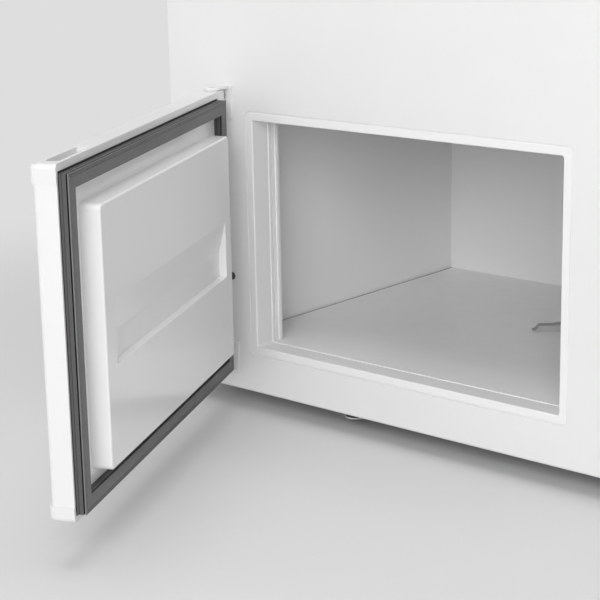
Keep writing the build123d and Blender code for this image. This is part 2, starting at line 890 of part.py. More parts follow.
# ---------------------------------------------------------------- refrigeration
with BuildPart() as compressor:
    shell_bottom = tray_top + grommet_height + compressor_foot_sheet
    shell_top = shell_bottom + compressor_height
    compressor_shell(0, (shell_bottom, shell_top))
    fillet(compressor.faces().sort_by(Axis.Z)[-1].edges(), compressor_top_radius)
    fillet(compressor.faces().sort_by(Axis.Z)[0].edges(), compressor_bottom_radius)
    seam_middle = (shell_bottom + shell_top) / 2
    compressor_shell(
        compressor_seam, (seam_middle - compressor_seam, seam_middle + compressor_seam)
    )
    with BuildSketch(Plane.XY.offset(shell_bottom)):
        with Locations((compressor_x, niche_middle)):
            RectangleRounded(
                grommet_spacing_x + compressor_foot_margin,
                grommet_spacing_y + compressor_foot_margin,
                compressor_foot_margin / 2,
            )
    extrude(amount=-compressor_foot_sheet)
    for x, y in grommet_places:
        rod(bolt_radius + fastener_clearance, x, y, (0, shell_bottom), mode=Mode.SUBTRACT)

with BuildPart() as compressor_grommets:
    grommet_top = tray_top + grommet_height
    for x, y in grommet_places:
        rod(grommet_radius, x, y, (tray_top, grommet_top))
        rod(bolt_radius + fastener_clearance, x, y, (tray_top, grommet_top), mode=Mode.SUBTRACT)

with BuildPart() as compressor_bolts:
    for x, y in grommet_places:
        rod(bolt_radius, x, y, (body_bottom - tray_sheet, shell_bottom))
        with BuildSketch(Plane.XY.offset(shell_bottom)):
            with Locations((x, y)):
                RegularPolygon(bolt_head_radius, 6)
        extrude(amount=bolt_head_height)

with BuildPart() as relay_cover:
    cover_left = compressor_x - compressor_length / 2 - relay_cover_depth
    cover_low = shell_bottom + compressor_bottom_radius
    slab(
        (cover_left, compressor_x),
        (niche_middle - relay_cover_width / 2, niche_middle + relay_cover_width / 2),
        (cover_low, cover_low + relay_cover_height),
    )
    fillet(relay_cover.faces().sort_by(Axis.X)[0].edges(), cover_edge_radius)
    compressor_shell(compressor_seam, (shell_bottom, shell_top), mode=Mode.SUBTRACT)

with BuildPart() as suction_line:
    pipe(
        [
            (suction_x, line_y, shell_top - compressor_top_radius / 2),
            (suction_x, line_y, line_z),
            (suction_x, evaporator_back, line_z),
        ],
        line_bend,
        line_radius,
    )
    add(compressor.part, mode=Mode.SUBTRACT)

with BuildPart() as discharge_line:
    pipe(
        [
            (discharge_x, line_y, shell_top - compressor_top_radius / 2),
            (discharge_x, line_y, condenser_feed_z),
            (discharge_x, condenser_y, condenser_feed_z),
            (condenser_half_width + condenser_side_run, condenser_y, condenser_feed_z),
            (condenser_half_width + condenser_side_run, condenser_y, condenser_low),
            (condenser_half_width, condenser_y, condenser_low),
        ],
        condenser_bend,
        condenser_tube_radius,
    )
    add(compressor.part, mode=Mode.SUBTRACT)

with BuildPart() as condenser_tube:
    passes = []
    for row in range(condenser_passes):
        z = condenser_low + row * condenser_pitch
        toward = 1 if row % 2 == 0 else -1
        passes.append((toward * condenser_half_width, condenser_y, z))
        passes.append((-toward * condenser_half_width, condenser_y, z))
    pipe(
        passes[:-1]
        + [
            (-condenser_half_width - condenser_side_run, condenser_y, z),
            (-condenser_half_width - condenser_side_run, condenser_y, drier_z),
            (-condenser_half_width - condenser_side_run, line_y, drier_z),
            (drier_left, line_y, drier_z),
        ],
        condenser_bend,
        condenser_tube_radius,
    )

wire_spacing = 2 * condenser_half_width / condenser_wire_rows
wire_reach = condenser_tube_radius + condenser_wire_radius + fastener_clearance
condenser_high = condenser_low + (condenser_passes - 1) * condenser_pitch

with BuildPart() as condenser_wires:
    for row in range(condenser_wire_rows):
        x = (row + 0.5) * wire_spacing - condenser_half_width
        for y in (condenser_y - wire_reach, condenser_y + wire_reach):
            rod(
                condenser_wire_radius,
                x,
                y,
                (condenser_low - condenser_wire_end, condenser_high + condenser_wire_end),
            )

with BuildPart() as condenser_brackets:
    bracket_x = condenser_bracket_spaces * wire_spacing
    for side in (-1, 1):
        for z in (condenser_low + condenser_pitch, condenser_high - condenser_pitch):
            slab(
                (side * bracket_x - saddle_half, side * bracket_x + saddle_half),
                (back_y, condenser_y),
                (z - saddle_half, z + saddle_half),
            )
            with Locations(Plane(origin=(side * bracket_x, condenser_y, z), z_dir=(1, 0, 0))):
                Cylinder(
                    condenser_tube_radius + fastener_clearance,
                    4 * saddle_half,
                    mode=Mode.SUBTRACT,
                )

with BuildPart() as filter_drier:
    with BuildSketch(Plane.YZ.offset(drier_left)):
        with Locations((line_y, drier_z)):
            Circle(drier_radius)
    extrude(amount=drier_length)
    fillet(filter_drier.edges(), drier_radius / 2)

with BuildPart() as capillary_tube:
    pipe(
        [
            (drier_left + drier_length, line_y, drier_z),
            (capillary_x, line_y, drier_z),
            (capillary_x, line_y, line_z),
            (capillary_x, evaporator_back, line_z),
        ],
        line_bend,
        capillary_radius,
    )

with BuildPart() as evaporator_plate:
    plate_x = cavity_half - evaporator_edge
    slab(
        (-plate_x, plate_x),
        (cavity_front + evaporator_edge, evaporator_back),
        (line_z - evaporator_sheet / 2, line_z + evaporator_sheet / 2),
    )
    channel_front = cavity_front + 2 * evaporator_edge
    channel_pitch = (evaporator_back - evaporator_edge - channel_front) / (evaporator_channels - 1)
    with BuildSketch(Plane.XY.offset(line_z - evaporator_sheet / 2)):
        with BuildLine():
            turns = []
            for row in range(evaporator_channels):
                y = channel_front + row * channel_pitch
                toward = 1 if row % 2 == 0 else -1
                turns.append((toward * (plate_x - evaporator_edge), y))
                turns.append((-toward * (plate_x - evaporator_edge), y))
            FilletPolyline(*turns, radius=channel_bend)
        trace(line_width=evaporator_channel)
    extrude(amount=-evaporator_channel_rise)
    # sockets at the rear edge take the two refrigerant lines
    for x, radius in ((suction_x, line_radius), (capillary_x, capillary_radius)):
        with Locations(Plane(origin=(x, evaporator_back, line_z), z_dir=(0, 1, 0))):
            Cylinder(
                line_radius + evaporator_sheet,
                2 * evaporator_socket,
                align=(Align.CENTER, Align.CENTER, Align.CENTER),
            )
            Cylinder(
                radius,
                evaporator_socket,
                align=(Align.CENTER, Align.CENTER, Align.MIN),
                mode=Mode.SUBTRACT,
            )

with BuildPart() as evaporator_spacers:
    for side in (-1, 1):
        for y in (cavity_front + evaporator_edge + spacer_inset, evaporator_back - spacer_inset):
            rod(
                spacer_radius,
                side * (plate_x - spacer_inset),
                y,
                (line_z + evaporator_sheet / 2, cavity_ceiling),
            )

# ---------------------------------------------------------------- thermostat
control_y = cavity_front + thermostat_from_front
control_z = cavity_floor + thermostat_above_floor + thermostat_height / 2
control_face = cavity_half - thermostat_depth
knob_plane = Plane(origin=(control_face - knob_gap, control_y, control_z), z_dir=(-1, 0, 0))

with BuildPart() as thermostat_housing:
    slab(
        (control_face, cavity_half),
        (control_y - thermostat_length / 2, control_y + thermostat_length / 2),
        (control_z - thermostat_height / 2, control_z + thermostat_height / 2),
    )
    fillet(thermostat_housing.faces().sort_by(Axis.X)[0].edges(), thermostat_edge)
    slab(
        (control_face + thermostat_wall, cavity_half),
        (
            control_y - thermostat_length / 2 + thermostat_edge,
            control_y + thermostat_length / 2 - thermostat_edge,
        ),
        (
            control_z - thermostat_height / 2 + thermostat_edge,
            control_z + thermostat_height / 2 - thermostat_edge,
        ),
        mode=Mode.SUBTRACT,
    )
    with Locations(knob_plane):
        Hole(spindle_radius + spindle_clearance, depth=thermostat_depth)

with BuildPart() as thermostat_body:
    body_front = control_face + thermostat_wall
    slab(
        (body_front, cavity_half - thermostat_wall),
        (control_y - thermostat_body_half, control_y + thermostat_body_half),
        (control_z - thermostat_body_half, control_z + thermostat_body_half),
    )
    with Locations(knob_plane):
        Hole(spindle_radius + spindle_clearance, depth=thermostat_depth / 2)

with BuildPart() as thermostat_spindle:
    with Locations(knob_plane):
        Cylinder(
            spindle_radius,
            thermostat_depth / 2 - knob_gap,
            align=(Align.CENTER, Align.CENTER, Align.MAX),
        )
        Cylinder(
            spindle_radius,
            knob_height / 2,
            align=(Align.CENTER, Align.CENTER, Align.MIN),
        )

with BuildPart() as thermostat_knob:
    with BuildSketch(knob_plane):
        Circle(knob_radius)
    extrude(amount=knob_disc_height)
    with BuildSketch(knob_plane.offset(knob_disc_height)):
        SlotOverall(2 * knob_radius - 2 * knob_edge, knob_grip_width)
    extrude(amount=knob_height - knob_disc_height)
    fillet(thermostat_knob.faces().sort_by(Axis.X)[0].edges(), knob_edge)
    with BuildSketch(knob_plane):
        Circle(spindle_radius)
    extrude(amount=knob_height / 2, mode=Mode.SUBTRACT)

# ---------------------------------------------------------------- mains inlet
inlet_plane = Plane(
    origin=(inlet_x, back_y - inlet_set_in, tray_top + inlet_bracket_height),
    x_dir=(-1, 0, 0),
    z_dir=(0, 1, 0),
)

with BuildPart() as inlet_bracket:
    plate_back = back_y - inlet_set_in
    slab(
        (inlet_x - inlet_flange / 2, inlet_x + inlet_flange / 2),
        (plate_back - tray_sheet, plate_back),
        (tray_top, tray_top + inlet_bracket_height + inlet_height),
    )
    slab(
        (inlet_x - inlet_flange / 2, inlet_x + inlet_flange / 2),
        (plate_back - inlet_depth, plate_back),
        (tray_top, tray_top + tray_sheet),
    )
    with BuildSketch(inlet_plane):
        Rectangle(inlet_width + fastener_clearance, inlet_height + fastener_clearance)
    extrude(amount=-inlet_depth, mode=Mode.SUBTRACT)

with BuildPart() as power_inlet:
    with BuildSketch(inlet_plane):
        RectangleRounded(inlet_flange, inlet_height + 2 * inlet_rim, inlet_rim)
    extrude(amount=inlet_rim)
    with BuildSketch(inlet_plane):
        Rectangle(inlet_width, inlet_height)
    extrude(amount=-inlet_depth)
    with BuildSketch(inlet_plane.offset(inlet_rim)):
        Rectangle(inlet_width - inlet_rim, inlet_height - inlet_rim)
        chamfer(vertices().group_by(Axis.Y)[-1], inlet_corner)
    extrude(amount=-(inlet_depth + inlet_rim - inlet_floor), mode=Mode.SUBTRACT)
    with BuildSketch(inlet_plane.offset(-(inlet_depth - inlet_floor))):
        for x, y in ((-inlet_pin_spacing, 0), (0, inlet_pin_spacing / 2), (inlet_pin_spacing, 0)):
            with Locations((x, y)):
                Rectangle(inlet_pin_width, inlet_pin_height)
    extrude(amount=inlet_depth - inlet_floor)

with BuildPart() as supply_lead:
    lead_y = back_y - inlet_set_in - inlet_depth
    lead_z = tray_top + inlet_bracket_height
    pipe(
        [
            (inlet_x, lead_y, lead_z),
            (inlet_x, niche_middle, lead_z),
            (cover_left, niche_middle, lead_z),
        ],
        lead_bend,
        lead_radius,
    )

# ---------------------------------------------------------------- cabinet insulation
with BuildPart() as cabinet_foam:
    slab(
        (-inside_half, inside_half),
        (front_y + sheet, back_y - sheet),
        (body_bottom + sheet, body_top - sheet),
    )
    fillet(
        cabinet_foam.faces().sort_by(Axis.Y)[0].edges(),
        front_edge_radius - sheet,
    )
    slab(
        (-inside_half, inside_half),
        (niche_front, back_y),
        (body_bottom, niche_top),
        mode=Mode.SUBTRACT,
    )
    compartment(liner_sheet, mode=Mode.SUBTRACT)
    groove_beds(mode=Mode.SUBTRACT)
    throat(liner_sheet, (front_y, cavity_front), mode=Mode.SUBTRACT)
    for piece in (opening_frame, hinge_backing_plates, hinge_screws):
        add(piece.part, mode=Mode.SUBTRACT)
    for side in (-1, 1):
        x = side * foot_x
        seat = body_bottom + sheet
        rod(
            foot_nut_flange_radius,
            x,
            foot_y,
            (seat, seat + foot_nut_flange),
            mode=Mode.SUBTRACT,
        )
        rod(
            foot_stud_radius + foot_nut_wall, x, foot_y, (seat, nut_top), mode=Mode.SUBTRACT
        )
    pipe(drain_points, drain_tube_bend, drain_bore + drain_tube_wall, mode=Mode.SUBTRACT)
    rod(outlet_radius, outlet_x, outlet_y, (body_bottom, outlet_top), mode=Mode.SUBTRACT)
    for x, radius in ((suction_x, line_radius), (capillary_x, capillary_radius)):
        pipe(
            [(x, line_y, niche_front / 2), (x, line_y, line_z), (x, evaporator_back, line_z)],
            line_bend,
            radius + line_clearance,
            mode=Mode.SUBTRACT,
        )

# ---------------------------------------------------------------- door
with BuildPart() as plug_core:
    plug_block(door_liner_sheet)

with BuildPart() as door_liner:
    with Locations(door_plane):
        slab(
            (door_hinge_edge + door_liner_inset, door_free_edge - door_liner_inset),
            (liner_back, door_inner),
            (door_bottom + door_liner_inset, door_top - door_liner_inset),
        )
    gasket_channel(channel_wall, door_liner_sheet, (liner_back - channel_depth, liner_back))
    gasket_channel(0, 0, (door_inner - channel_depth, door_inner), mode=Mode.SUBTRACT)
    plug_block(0)
    rims = door_liner.faces().sort_by(Axis(door_plane.origin, door_plane.y_dir))[-1]
    fillet(rims.outer_wire().edges(), plug_edge_radius)
    add(plug_core.part, mode=Mode.SUBTRACT)

with BuildPart(door_plane) as door_skin:
    door_block(0, 0, skin_radius, (skin_low, skin_high))
    door_block(-sheet, -sheet, skin_radius - sheet, (skin_low, skin_high), mode=Mode.SUBTRACT)

bush_radius = pin_radius + pin_clearance + bush_wall
boss_radius = bush_radius + bush_boss_wall
boss_length = pin_reach + cap_wall

with BuildPart(door_plane) as door_top_cap:
    cap_low = door_top - top_cap_height
    door_block(cap_end_proud, cap_proud, cap_radius, (cap_low, door_top))
    rim = door_top_cap.faces().sort_by(Axis.Z)[-1].edges()
    fillet(rim.sort_by(Axis(door_plane.origin, door_plane.y_dir))[:-1], top_cap_radius)
    door_block(0, 0, skin_radius, (cap_low, skin_high), mode=Mode.SUBTRACT)
    door_block(
        -sheet, -sheet, skin_radius, (skin_high, door_top - cap_wall), mode=Mode.SUBTRACT
    )
    slab(
        (door_hinge_edge + door_liner_inset, door_free_edge - door_liner_inset),
        (liner_back, door_inner),
        (cap_low, door_top - door_liner_inset),
        mode=Mode.SUBTRACT,
    )
    rod(boss_radius, 0, 0, (door_top - boss_length, door_top - cap_wall))
    rod(bush_radius, 0, 0, (door_top - pin_reach, door_top), mode=Mode.SUBTRACT)
    slab(
        (grip_free - grip_length - grip_wall, grip_free + grip_wall),
        (grip_inner - grip_width - grip_wall, grip_inner + grip_wall),
        (door_top - grip_depth - grip_wall, door_top - cap_wall),
    )
    with BuildSketch(door_plane.offset(door_top)):
        with Locations((grip_free - grip_length / 2, grip_inner - grip_width / 2)):
            RectangleRounded(grip_length, grip_width, grip_radius)
    extrude(amount=-grip_depth, mode=Mode.SUBTRACT)

with BuildPart(door_plane) as door_bottom_cap:
    cap_high = door_bottom + bottom_cap_height
    door_block(cap_end_proud, cap_proud, cap_radius, (door_bottom, cap_high))
    rim = door_bottom_cap.faces().sort_by(Axis.Z)[0].edges()
    fillet(rim.sort_by(Axis(door_plane.origin, door_plane.y_dir))[:-1], bottom_cap_radius)
    door_block(0, 0, skin_radius, (skin_low, cap_high), mode=Mode.SUBTRACT)
    door_block(
        -sheet, -sheet, skin_radius, (door_bottom + cap_wall, skin_low), mode=Mode.SUBTRACT
    )
    slab(
        (door_hinge_edge + door_liner_inset, door_free_edge - door_liner_inset),
        (liner_back, door_inner),
        (door_bottom + door_liner_inset, cap_high),
        mode=Mode.SUBTRACT,
    )
    rod(boss_radius, 0, 0, (door_bottom + cap_wall, door_bottom + boss_length))
    rod(bush_radius, 0, 0, (door_bottom, door_bottom + pin_reach), mode=Mode.SUBTRACT)

with BuildPart(door_plane) as hinge_bushes:
    for low, high, rim in (
        (door_top - pin_reach, door_top, (door_top, door_top + bush_collar)),
        (door_bottom, door_bottom + pin_reach, (door_bottom - bush_collar, door_bottom)),
    ):
        rod(bush_radius, 0, 0, (low, high))
        rod(bush_collar_radius, 0, 0, rim)
        rod(
            pin_radius + pin_clearance,
            0,
            0,
            (min(low, rim[0]), max(high, rim[1])),
            mode=Mode.SUBTRACT,
        )

with BuildPart() as door_foam:
    door_block(
        -sheet,
        -sheet,
        skin_radius - sheet,
        (door_bottom + cap_wall, door_top - cap_wall),
        inner=liner_back,
    )
    for piece in (door_top_cap, door_bottom_cap):
        add(piece.part, mode=Mode.SUBTRACT)
    with Locations(door_plane):
        rod(bush_radius, 0, 0, (door_bottom, door_bottom + pin_reach), mode=Mode.SUBTRACT)
        rod(bush_radius, 0, 0, (door_top - pin_reach, door_top), mode=Mode.SUBTRACT)
        slab(
            (grip_free - grip_length, grip_free),
            (grip_inner - grip_width, grip_inner),
            (door_top - grip_depth, door_top),
            mode=Mode.SUBTRACT,
        )
    gasket_channel(
        channel_wall,
        door_liner_sheet,
        (liner_back - channel_depth, liner_back),
        mode=Mode.SUBTRACT,
    )
    add(plug_core.part)

with BuildPart(door_plane) as door_gasket:
    band, line, upper_band, neck = gasket_bands
    gasket_ring(0, (gasket_root_rise, band))
    gasket_ring(gasket_line_inset, (band, line))
    gasket_ring(0, (line, upper_band))
    gasket_ring(gasket_neck_inset, (upper_band, neck))
    gasket_ring(0, (neck, gasket_height))
    # a narrower root stands in the channel of the liner and spreads along its floor
    gasket_ring(gasket_root_neck, (-channel_depth, gasket_root_rise))
    gasket_channel(
        -gasket_root_clearance,
        0,
        (door_inner - channel_depth, door_inner - channel_depth + gasket_root_sheet),
    )
    for place in gasket_ridge_places:
        with BuildSketch(gasket_plane(gasket_height)):
            gasket_outline(place)
            gasket_outline(place + gasket_ridge, mode=Mode.SUBTRACT)
        extrude(amount=gasket_ridge, mode=Mode.SUBTRACT)
    # the hollow of the profile holds the magnets
    magnet_inset = (gasket_face - magnet_width) / 2
    with BuildSketch(gasket_plane(0)):
        gasket_outline(magnet_inset - magnet_clearance)
        gasket_outline(gasket_face - magnet_inset + magnet_clearance, mode=Mode.SUBTRACT)
    extrude(amount=-(upper_band - gasket_roof), mode=Mode.SUBTRACT)

with BuildPart(door_plane) as magnet_strips:
    magnet_face = upper_band - gasket_roof
    with BuildSketch(gasket_plane(magnet_face)):
        gasket_outline(magnet_inset)
        gasket_outline(gasket_face - magnet_inset, mode=Mode.SUBTRACT)
        # the frame of magnets is cut into four bars at its corners
        for x in (-1, 1):
            for y in (-1, 1):
                with Locations(
                    (x * (gasket_width - gasket_face) / 2, y * (gasket_tall - gasket_face) / 2)
                ):
                    Rectangle(magnet_width, magnet_width, mode=Mode.SUBTRACT)
    extrude(amount=magnet_height)

# ---------------------------------------------------------------- pieces to files
pieces = {
    "cabinet_wrap": cabinet_wrap,
    "front_panel": front_panel,
    "front_hole_plug": front_hole_plug,
    "back_panel": back_panel,
    "base_pan": base_pan,
    "niche_shell": niche_shell,
    "compressor_tray": compressor_tray,
    "inner_liner": inner_liner,
    "opening_frame": opening_frame,
    "cabinet_foam": cabinet_foam,
    "drain_plug": drain_plug,
    "drain_tube": drain_tube,
    "drain_outlet": drain_outlet,
    "drain_outlet_ring": drain_outlet_ring,
    "left_foot_pad": left_foot_pad,
    "left_foot_stud": left_foot_stud,
    "right_foot_pad": right_foot_pad,
    "right_foot_stud": right_foot_stud,
    "foot_nuts": foot_nuts,
    "rear_feet": rear_feet,
    "upper_hinge_bracket": upper_hinge_bracket,
    "lower_hinge_bracket": lower_hinge_bracket,
    "hinge_pins": hinge_pins,
    "hinge_backing_plates": hinge_backing_plates,
    "hinge_screws": hinge_screws,
    "compressor": compressor,
    "compressor_grommets": compressor_grommets,
    "compressor_bolts": compressor_bolts,
    "relay_cover": relay_cover,
    "suction_line": suction_line,
    "discharge_line": discharge_line,
    "condenser_tube": condenser_tube,
    "condenser_wires": condenser_wires,
    "condenser_brackets": condenser_brackets,
    "filter_drier": filter_drier,
    "capillary_tube": capillary_tube,
    "evaporator_plate": evaporator_plate,
    "evaporator_spacers": evaporator_spacers,
    "thermostat_housing": thermostat_housing,
    "thermostat_body": thermostat_body,
    "thermostat_spindle": thermostat_spindle,
    "thermostat_knob": thermostat_knob,
    "power_inlet": power_inlet,
    "inlet_bracket": inlet_bracket,
    "supply_lead": supply_lead,
    "door_skin": door_skin,
    "door_top_cap": door_top_cap,
    "door_bottom_cap": door_bottom_cap,
    "door_foam": door_foam,
    "door_liner": door_liner,
    "door_gasket": door_gasket,
    "magnet_strips": magnet_strips,
    "hinge_bushes": hinge_bushes,
}

os.makedirs("parts", exist_ok=True)
for name, piece in pieces.items():
    piece.part.label = name
    export_step(piece.part, f"parts/{name}.step")
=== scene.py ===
import json
import math

import bpy
from mathutils import Matrix, Vector

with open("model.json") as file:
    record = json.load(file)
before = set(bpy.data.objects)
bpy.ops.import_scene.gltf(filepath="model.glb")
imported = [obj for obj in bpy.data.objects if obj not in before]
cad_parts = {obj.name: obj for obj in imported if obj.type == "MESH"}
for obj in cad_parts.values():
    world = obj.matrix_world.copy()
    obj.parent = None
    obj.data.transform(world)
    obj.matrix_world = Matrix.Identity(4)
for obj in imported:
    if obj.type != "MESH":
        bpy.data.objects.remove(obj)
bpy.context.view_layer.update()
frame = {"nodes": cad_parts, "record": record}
nodes = frame["nodes"]

MM = 0.001
joints = {joint["name"]: joint for joint in frame["record"]["behaviour"]["joints"]}
hinge = Vector(joints["door_hinge"]["pos_m"])
door_turn = math.radians(-joints["door_hinge"]["range_deg"][0])
into_cabinet = Vector((math.sin(door_turn), math.cos(door_turn), 0))

# height of the compartment's floor, and the groove under it that is painted dark as shade
floor_height = 74.3 * MM
floor_groove = (-2.5 * MM, -0.3 * MM)
# dark grey painted into that groove as shade
painted_groove_shade = (0.12, 0.12, 0.12)

# heights over the hinge's plane of the gasket's bellows, and of the crevices in and beside them,
# where shade is painted into the rubber's colour
gasket_bellows = (10.35 * MM, 16.55 * MM)
gasket_root = (8.7 * MM, 10.35 * MM)
gasket_line = (12.55 * MM, 12.95 * MM)
gasket_neck = (16.55 * MM, 17.85 * MM)
# darker greys painted on the bellows and into the crevices as shade
bellows_painted_shade = (0.08, 0.08, 0.08)
crevice_painted_shade = (0.02, 0.02, 0.02)

# ---------------------------------------------------------------- materials


class Finish:
    """A Principled material whose small-scale detail is built up node by node."""

    def __init__(self, name, colour, roughness, metallic=0.0):
        self.material = bpy.data.materials.new(name)
        self.material.use_nodes = True
        self.tree = self.material.node_tree
        self.shader = self.tree.nodes["Principled BSDF"]
        self.shader.inputs["Metallic"].default_value = metallic
        self.place = self.node("ShaderNodeTexCoord").outputs["Object"]
        self.colour = self.node("ShaderNodeRGB").outputs["Color"]
        self.colour.default_value = (*colour, 1.0)
        self.roughness = roughness
        self.height = None

    def node(self, kind, **settings):
        made = self.tree.nodes.new(kind)
        for key, value in settings.items():
            setattr(made, key, value)
        return made

    def link(self, source, target):
        self.tree.links.new(source, target)

    def stretched(self, stretch):
        """Object coordinates multiplied along each axis."""
        mapping = self.node("ShaderNodeMapping")
        mapping.inputs["Scale"].default_value = stretch
        self.link(self.place, mapping.inputs["Vector"])
        return mapping.outputs["Vector"]

    def noise(self, size, detail=3.0, stretch=(1, 1, 1)):
        """Noise whose features are about size metres across."""
        texture = self.node("ShaderNodeTexNoise")
        texture.inputs["Scale"].default_value = 1 / size
        texture.inputs["Detail"].default_value = detail
        self.link(self.stretched(stretch), texture.inputs["Vector"])
        return texture.outputs["Fac"]

    def cells(self, size, stretch=(1, 1, 1), output="Distance"):
        """Voronoi cells about size metres across."""
        texture = self.node("ShaderNodeTexVoronoi")
        texture.inputs["Scale"].default_value = 1 / size
        self.link(self.stretched(stretch), texture.inputs["Vector"])
        return texture.outputs[output]

    def between(self, factor, low, high):
        """Maps a 0 to 1 factor to a range."""
        spread = self.node("ShaderNodeMapRange")
        spread.inputs["From Min"].default_value = 0.3
        spread.inputs["From Max"].default_value = 0.7
        spread.inputs["To Min"].default_value = low
        spread.inputs["To Max"].default_value = high
        self.link(factor, spread.inputs["Value"])
        return spread.outputs["Result"]

    def tint(self, factor, colour, low=0.0, high=1.0):
        """Mixes another colour in where the factor is high."""
        mix = self.node("ShaderNodeMix", data_type="RGBA")
        self.link(self.between(factor, low, high), mix.inputs["Factor"])
        self.link(self.colour, mix.inputs["A"])
        mix.inputs["B"].default_value = (*colour, 1.0)
        self.colour = mix.outputs["Result"]

    def height_along(self, direction, origin):
        """Distance in metres from origin along a direction, in the piece's own coordinates."""
        offset = self.node("ShaderNodeVectorMath", operation="SUBTRACT")
        self.link(self.place, offset.inputs[0])
        offset.inputs[1].default_value = origin
        product = self.node("ShaderNodeVectorMath", operation="DOT_PRODUCT")
        self.link(offset.outputs["Vector"], product.inputs[0])
        product.inputs[1].default_value = direction
        return product.outputs["Value"]

    def paint_shade_band(self, height, span, colour):
        """Lays a colour on the part of the surface whose height is within span; here it paints
        shade.
        """
        inside = self.node("ShaderNodeMath", operation="COMPARE")
        self.link(height, inside.inputs[0])
        inside.inputs[1].default_value = (span[0] + span[1]) / 2
        inside.inputs[2].default_value = (span[1] - span[0]) / 2
        self.tint(inside.outputs["Value"], colour)

    def rough(self, factor, spread):
        """Varies the roughness by spread either way."""
        self.link(
            self.between(factor, self.roughness - spread, self.roughness + spread),
            self.shader.inputs["Roughness"],
        )

    def bump(self, factor, depth):
        """Adds relief of about depth metres."""
        bump = self.node("ShaderNodeBump")
        bump.inputs["Strength"].default_value = 1.0
        bump.inputs["Distance"].default_value = depth
        self.link(factor, bump.inputs["Height"])
        if self.height is not None:
            self.link(self.height, bump.inputs["Normal"])
        self.height = bump.outputs["Normal"]

    def soften(self, radius):
        """Rounds sharp edges in the shading by radius metres."""
        bevel = self.node("ShaderNodeBevel", samples=6)
        bevel.inputs["Radius"].default_value = radius
        self.height = bevel.outputs["Normal"]

    def done(self):
        self.link(self.colour, self.shader.inputs["Base Color"])
        if self.height is not None:
            self.link(self.height, self.shader.inputs["Normal"])
        return self.material


def darker(colour, share):
    return tuple(channel * share for channel in colour)


def painted_white():
    """Baked enamel on steel sheet: faint orange peel, barely mottled."""
    white = (0.79, 0.79, 0.79)
    finish = Finish("painted_white", white, 0.42)
    finish.tint(finish.noise(60 * MM), darker(white, 0.985))
    finish.rough(finish.noise(15 * MM), 0.04)
    finish.bump(finish.noise(5 * MM, detail=1.0), 0.006 * MM)
    return finish.done()


def moulded_white(name, level):
    """Glossy moulded plastic of the caps and the frame."""
    white = (level, level, level)
    finish = Finish(name, white, 0.34)
    finish.tint(finish.noise(40 * MM), darker(white, 0.985))
    finish.rough(finish.noise(6 * MM), 0.04)
    finish.bump(finish.noise(9 * MM, detail=1.0), 0.01 * MM)
    return finish.done()


def formed_white(name, level, roughness):
    """Vacuum-formed sheet of the liners, with slow waves from its forming."""
    white = (level, level, level)
    finish = Finish(name, white, roughness)
    finish.tint(finish.noise(90 * MM), darker(white, 0.98))
    finish.tint(finish.noise(3 * MM), darker(white, 0.99))
    finish.rough(finish.noise(20 * MM), 0.03)
    finish.bump(finish.noise(60 * MM, detail=0.0), 0.05 * MM)
    return finish


def compartment_white_painted_light():
    """The compartment's sheet, a lighter copy of the formed white whose extra brightness is painted
    light, with painted shade in the grooves along its floor.
    """
    # level 0.94 against the door liner's 0.88: the difference is painted light in the compartment
    finish = formed_white("compartment_white_painted_light", 0.94, 0.22)
    height = finish.height_along((0, 0, 1), (0, 0, floor_height))
    # painted shade in the groove along the floor
    finish.paint_shade_band(height, floor_groove, painted_groove_shade)
    return finish.done()


def gasket_rubber():
    """Soft extruded rubber, a little dusty on its faces, with painted shade on its bellows and in
    its crevices.
    """
    grey = (0.165, 0.165, 0.168)
    finish = Finish("gasket_rubber", grey, 0.62)
    finish.tint(finish.noise(30 * MM), darker(grey, 0.9))
    finish.tint(finish.noise(1.5 * MM, detail=4.0), (0.2, 0.2, 0.2), 0.0, 0.2)
    height = finish.height_along(into_cabinet, hinge)
    # painted shade on the bellows and in the crevices
    finish.paint_shade_band(height, gasket_bellows, bellows_painted_shade)
    for crevice in (gasket_root, gasket_line, gasket_neck):
        finish.paint_shade_band(height, crevice, crevice_painted_shade)
    finish.rough(finish.noise(4 * MM), 0.06)
    finish.bump(finish.noise(1.5 * MM, detail=2.0), 0.008 * MM)
    return finish.done()


def rubber(name, grey):
    """Moulded rubber with a little bloom on it."""
    finish = Finish(name, grey, 0.6)
    finish.tint(finish.noise(3 * MM, detail=4.0), (0.5, 0.5, 0.5), 0.0, 0.15)
    finish.rough(finish.noise(4 * MM), 0.1)
    finish.bump(finish.noise(0.5 * MM, detail=2.0), 0.01 * MM)
    return finish.done()


def moulded(name, colour, roughness):
    """Spark-textured moulded plastic."""
    finish = Finish(name, colour, roughness)
    finish.soften(0.4 * MM)
    finish.tint(finish.noise(25 * MM), darker(colour, 0.85))
    finish.rough(finish.noise(5 * MM), 0.06)
    finish.bump(finish.noise(0.35 * MM, detail=2.0), 0.02 * MM)
    return finish.done()


def galvanised():
    """Zinc-coated sheet with spangles."""
    zinc = (0.52, 0.53, 0.54)
    finish = Finish("galvanised", zinc, 0.42, metallic=0.9)
    finish.soften(0.4 * MM)
    finish.tint(finish.cells(5 * MM, output="Color"), darker(zinc, 0.9))
    finish.rough(finish.cells(5 * MM, output="Color"), 0.05)
    finish.bump(finish.noise(2 * MM), 0.01 * MM)
    return finish.done()


def zinc_plated():
    """Bright plated small parts with fine turning marks."""
    zinc = (0.62, 0.62, 0.63)
    finish = Finish("zinc_plated", zinc, 0.3, metallic=1.0)
    finish.soften(0.2 * MM)
    finish.tint(finish.noise(4 * MM), darker(zinc, 0.8))
    finish.rough(finish.noise(1.5 * MM, stretch=(1, 1, 8)), 0.08)
    finish.bump(finish.noise(0.5 * MM, stretch=(1, 1, 12)), 0.006 * MM)
    return finish.done()


